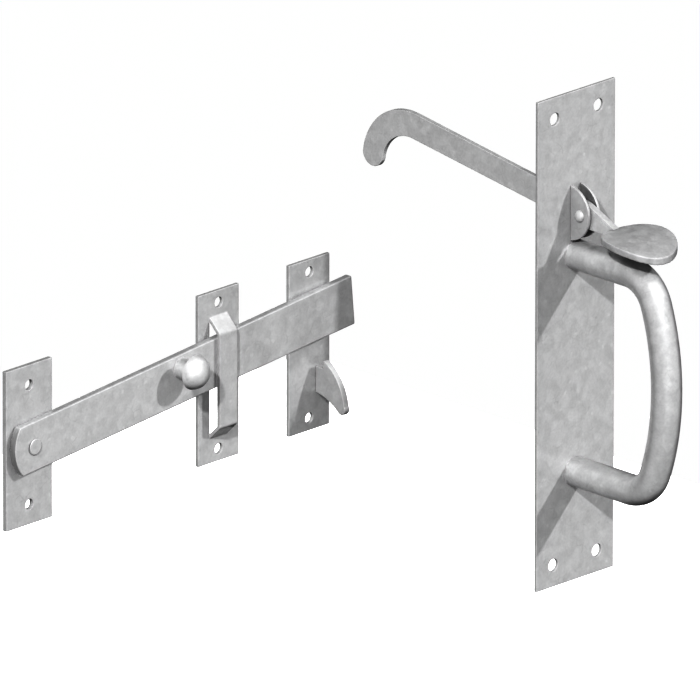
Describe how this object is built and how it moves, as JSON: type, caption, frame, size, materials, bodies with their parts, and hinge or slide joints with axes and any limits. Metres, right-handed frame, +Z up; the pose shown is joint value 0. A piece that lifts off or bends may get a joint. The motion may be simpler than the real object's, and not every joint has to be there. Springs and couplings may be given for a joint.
{
  "type": "suffolk latch",
  "caption": "Galvanised suffolk latch: plate with bowed pull handle and thumb lever whose hooked tail lifts a pivoted latch bar, with keeper and hooked catch.",
  "frame": {"origin": "centre of the handle plate's back face, in the middle of its screw holes, on the door face", "axes": "+X along the door face, to the right as one faces it; -Y out of the door face, towards the hand that pulls; +Z up"},
  "size_m": [0.3305, 0.1697, 0.2],
  "materials": {
    "galvanised_sheet": "hot-dip galvanised sheet, satin with a faint mottled spangle",
    "galvanised_flat_bar": "hot-dip galvanised flat bar, satin with a faint mottled spangle",
    "galvanised_round_bar": "hot-dip galvanised round bar, smoother and a little brighter",
    "zinc_rivet": "galvanised rivet heads, satin"
  },
  "bodies": {
    "fixed": {"handle_plate": "galvanised_sheet", "pull_handle": "galvanised_round_bar", "left_ear": "galvanised_sheet", "right_ear": "galvanised_sheet", "lever_pin": "zinc_rivet", "pivot_plate": "galvanised_sheet", "bar_rivet": "zinc_rivet", "keeper": "galvanised_sheet", "catch_plate": "galvanised_sheet", "catch_hook": "galvanised_sheet"},
    "lever": {"thumb_lever": "galvanised_flat_bar", "thumb_pad": "galvanised_flat_bar"},
    "bar": {"latch_bar": "galvanised_flat_bar", "bar_knob": "galvanised_round_bar"}
  },
  "joints": [
    {"name": "lever_rock", "type": "hinge", "parent": "fixed", "child": "lever", "pos_m": [0, -0.0062, 0.05075], "axis": [1, 0, 0], "range_deg": [-10, 10.5]},
    {"name": "bar_swing", "type": "hinge", "parent": "fixed", "child": "bar", "pos_m": [-0.297, -0.00365, 0.0307], "axis": [0, -1, 0], "range_deg": [-4.28, 0.2]}
  ]
}
